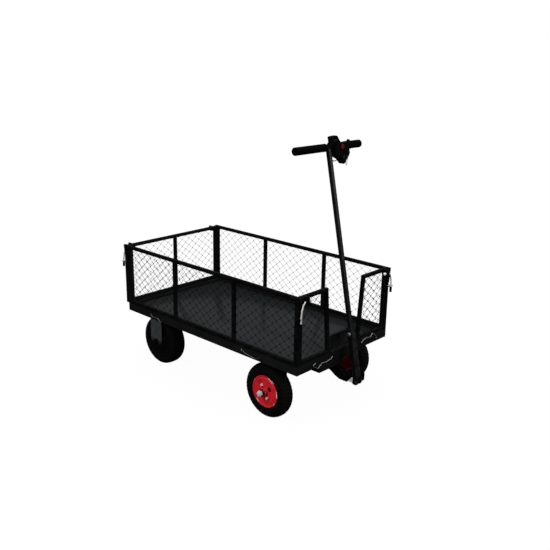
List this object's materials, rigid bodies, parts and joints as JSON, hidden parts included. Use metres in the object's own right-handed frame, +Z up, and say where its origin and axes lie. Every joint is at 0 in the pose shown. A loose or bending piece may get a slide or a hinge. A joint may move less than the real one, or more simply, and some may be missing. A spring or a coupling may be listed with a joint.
{
  "type": "electric platform cart",
  "caption": "Electric platform cart with a mesh-sided load deck, a steered front axle with a folding tiller, twist throttle, hub-motor rear wheels and lift-off fence panels.",
  "frame": {"origin": "on the ground under the middle of the cart's overall box", "axes": "+X forward towards the tiller, +Y to the cart's left, +Z up"},
  "size_m": [1.308, 0.712, 1.2405],
  "materials": {
    "frame_paint": "satin black powder coat",
    "deck_paint": "smooth dark grey coat",
    "fence_paint": "satin black powder coat",
    "mesh_wire": "satin black coated wire",
    "zinc": "bright zinc plate",
    "dark_nut": "dark oxide",
    "tyre_rubber": "ribbed rubber",
    "rim_red": "gloss red",
    "hub_black": "semi-gloss black",
    "grip_rubber": "matt",
    "black_plastic": "fine grain",
    "lens": "clear gloss over dark",
    "red_plastic": "gloss"
  },
  "bodies": {
    "chassis": {"deck_frame": "frame_paint", "deck_floor": "deck_paint", "cross_members": "frame_paint", "front_kick_plate": "frame_paint", "turntable_upper_plate": "frame_paint", "kingpin": "zinc", "rear_forks": "frame_paint", "rear_fork_bolts": "zinc", "rear_axles": "zinc", "rear_axle_nuts": "dark_nut", "battery_box": "frame_paint", "battery_pack": "black_plastic", "controller_box": "frame_paint", "motor_controller": "black_plastic", "charge_socket": "black_plastic", "hairpin_clips": "zinc"},
    "steering": {"turntable_lower_plate": "frame_paint", "axle_bracket": "frame_paint", "front_axle": "zinc", "drawbar": "frame_paint", "steering_fasteners": "zinc"},
    "tiller": {"tiller_yoke": "frame_paint", "tiller_tube": "frame_paint", "tiller_bolt": "zinc", "handlebar": "frame_paint", "left_grip": "grip_rubber", "throttle_housing": "black_plastic", "display_housing": "black_plastic", "display_lens": "lens", "control_pod": "black_plastic", "control_cable": "grip_rubber"},
    "throttle": {"throttle_grip": "grip_rubber"},
    "switch": {"red_button": "red_plastic"},
    "key": {"ignition_key": "zinc"},
    "front_wheel_left": {"front_tyre_left": "tyre_rubber", "front_rim_left": "rim_red", "front_rim_bolts_left": "zinc", "front_bearings_left": "zinc"},
    "rear_wheel_left": {"rear_tyre_left": "tyre_rubber", "rear_hub_motor_left": "hub_black"},
    "front_wheel_right": {"front_tyre_right": "tyre_rubber", "front_rim_right": "rim_red", "front_rim_bolts_right": "zinc", "front_bearings_right": "zinc"},
    "rear_wheel_right": {"rear_tyre_right": "tyre_rubber", "rear_hub_motor_right": "hub_black"},
    "right_panel": {"right_panel_frame": "fence_paint", "right_panel_mesh": "mesh_wire"},
    "left_panel": {"left_panel_frame": "fence_paint", "left_panel_mesh": "mesh_wire"},
    "rear_panel": {"rear_panel_frame": "fence_paint", "rear_panel_mesh": "mesh_wire"},
    "front_right_panel": {"front_right_panel_frame": "fence_paint", "front_right_panel_mesh": "mesh_wire"},
    "front_left_panel": {"front_left_panel_frame": "fence_paint", "front_left_panel_mesh": "mesh_wire"},
    "latch_front_right": {"latch_front_right": "zinc"},
    "latch_front_left": {"latch_front_left": "zinc"},
    "latch_rear_right": {"latch_rear_right": "zinc"},
    "latch_rear_left": {"latch_rear_left": "zinc"}
  },
  "joints": [
    {"name": "steer", "type": "hinge", "parent": "chassis", "child": "steering", "pos_m": [0.363, 0, 0.25], "axis": [0, 0, 1], "range_deg": [-23, 23]},
    {"name": "front_wheel_spin_left", "type": "hinge", "parent": "steering", "child": "front_wheel_left", "pos_m": [0.363, 0.284, 0.128], "axis": [0, 1, 0], "continuous": true},
    {"name": "front_wheel_spin_right", "type": "hinge", "parent": "steering", "child": "front_wheel_right", "pos_m": [0.363, -0.284, 0.128], "axis": [0, 1, 0], "continuous": true},
    {"name": "rear_wheel_spin_left", "type": "hinge", "parent": "chassis", "child": "rear_wheel_left", "pos_m": [-0.441, 0.232, 0.128], "axis": [0, 1, 0], "continuous": true},
    {"name": "rear_wheel_spin_right", "type": "hinge", "parent": "chassis", "child": "rear_wheel_right", "pos_m": [-0.441, -0.232, 0.128], "axis": [0, 1, 0], "continuous": true},
    {"name": "tiller_tilt", "type": "hinge", "parent": "steering", "child": "tiller", "pos_m": [0.639, 0, 0.166], "axis": [0, 1, 0], "range_deg": [0, 100]},
    {"name": "throttle_twist", "type": "hinge", "parent": "tiller", "child": "throttle", "pos_m": [0.422, 0.19, 1.192], "axis": [0, 1, 0], "range_deg": [0, 70], "stiffness_Nm_per_rad": 0.25},
    {"name": "switch_press", "type": "slide", "parent": "tiller", "child": "switch", "axis": [-1, 0, 0], "range_m": [0, 0.003], "stiffness_N_per_m": 600},
    {"name": "key_turn", "type": "hinge", "parent": "tiller", "child": "key", "pos_m": [0.452, 0.076, 1.146], "axis": [-1, 0, 0], "range_deg": [0, 90]},
    {"name": "right_panel_lift", "type": "slide", "parent": "chassis", "child": "right_panel", "axis": [0, 0, 1], "range_m": [0, 0.04]},
    {"name": "left_panel_lift", "type": "slide", "parent": "chassis", "child": "left_panel", "axis": [0, 0, 1], "range_m": [0, 0.04]},
    {"name": "rear_panel_lift", "type": "slide", "parent": "chassis", "child": "rear_panel", "axis": [0, 0, 1], "range_m": [0, 0.04]},
    {"name": "front_right_panel_lift", "type": "slide", "parent": "chassis", "child": "front_right_panel", "axis": [0, 0, 1], "range_m": [0, 0.04]},
    {"name": "front_left_panel_lift", "type": "slide", "parent": "chassis", "child": "front_left_panel", "axis": [0, 0, 1], "range_m": [0, 0.04]},
    {"name": "latch_swing_front_right", "type": "hinge", "parent": "front_right_panel", "child": "latch_front_right", "pos_m": [0.573, -0.282, 0.6], "axis": [0, -1, 0], "range_deg": [0, 150]},
    {"name": "latch_swing_front_left", "type": "hinge", "parent": "front_left_panel", "child": "latch_front_left", "pos_m": [0.573, 0.282, 0.6], "axis": [0, -1, 0], "range_deg": [0, 150]},
    {"name": "latch_swing_rear_right", "type": "hinge", "parent": "rear_panel", "child": "latch_rear_right", "pos_m": [-0.647, -0.282, 0.6], "axis": [0, 1, 0], "range_deg": [0, 150]},
    {"name": "latch_swing_rear_left", "type": "hinge", "parent": "rear_panel", "child": "latch_rear_left", "pos_m": [-0.647, 0.282, 0.6], "axis": [0, 1, 0], "range_deg": [0, 150]}
  ]
}
